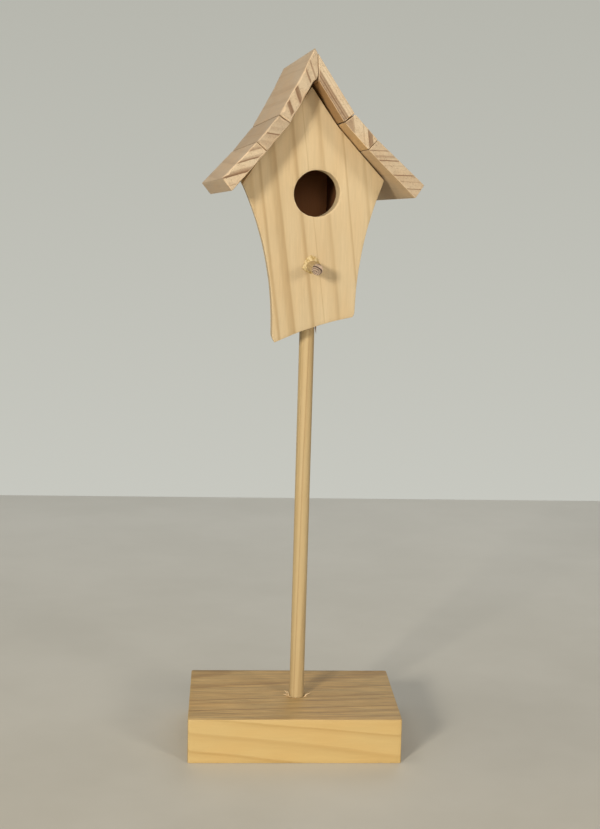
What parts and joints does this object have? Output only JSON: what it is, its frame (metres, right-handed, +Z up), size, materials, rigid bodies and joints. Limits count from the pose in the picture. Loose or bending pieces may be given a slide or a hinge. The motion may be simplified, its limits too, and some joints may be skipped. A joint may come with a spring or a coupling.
{
  "type": "birdhouse on pole",
  "caption": "Small unpainted pine birdhouse with a concave front, a flared board roof, a round entrance and a perch, on a dowel pole in a wooden block.",
  "frame": {"origin": "centre of the base block's underside", "axes": "+Z up along the pole, -Y towards the front panel with the entrance, +X to the viewer's right"},
  "size_m": [0.0917, 0.0844, 0.2918],
  "materials": {
    "pine_base": "bare planed pine, satin",
    "pine_panel": "bare sanded pine, matte",
    "pine_roof": "bare sawn pine, matte, slightly grey",
    "dowel": "bare hardwood dowel, satin",
    "glue": "dried amber wood glue, glossy"
  },
  "bodies": {
    "root": {"base_block": "pine_base", "pole_dowel": "dowel", "floor_board": "pine_panel", "front_panel": "pine_panel", "back_panel": "pine_panel", "left_wall": "pine_panel", "right_wall": "pine_panel", "roof_left_upper": "pine_roof", "roof_left_middle": "pine_roof", "roof_left_lower": "pine_roof", "roof_right_upper": "pine_roof", "roof_right_middle": "pine_roof", "roof_right_lower": "pine_roof", "perch_dowel": "dowel", "perch_glue": "glue"}
  },
  "joints": []
}
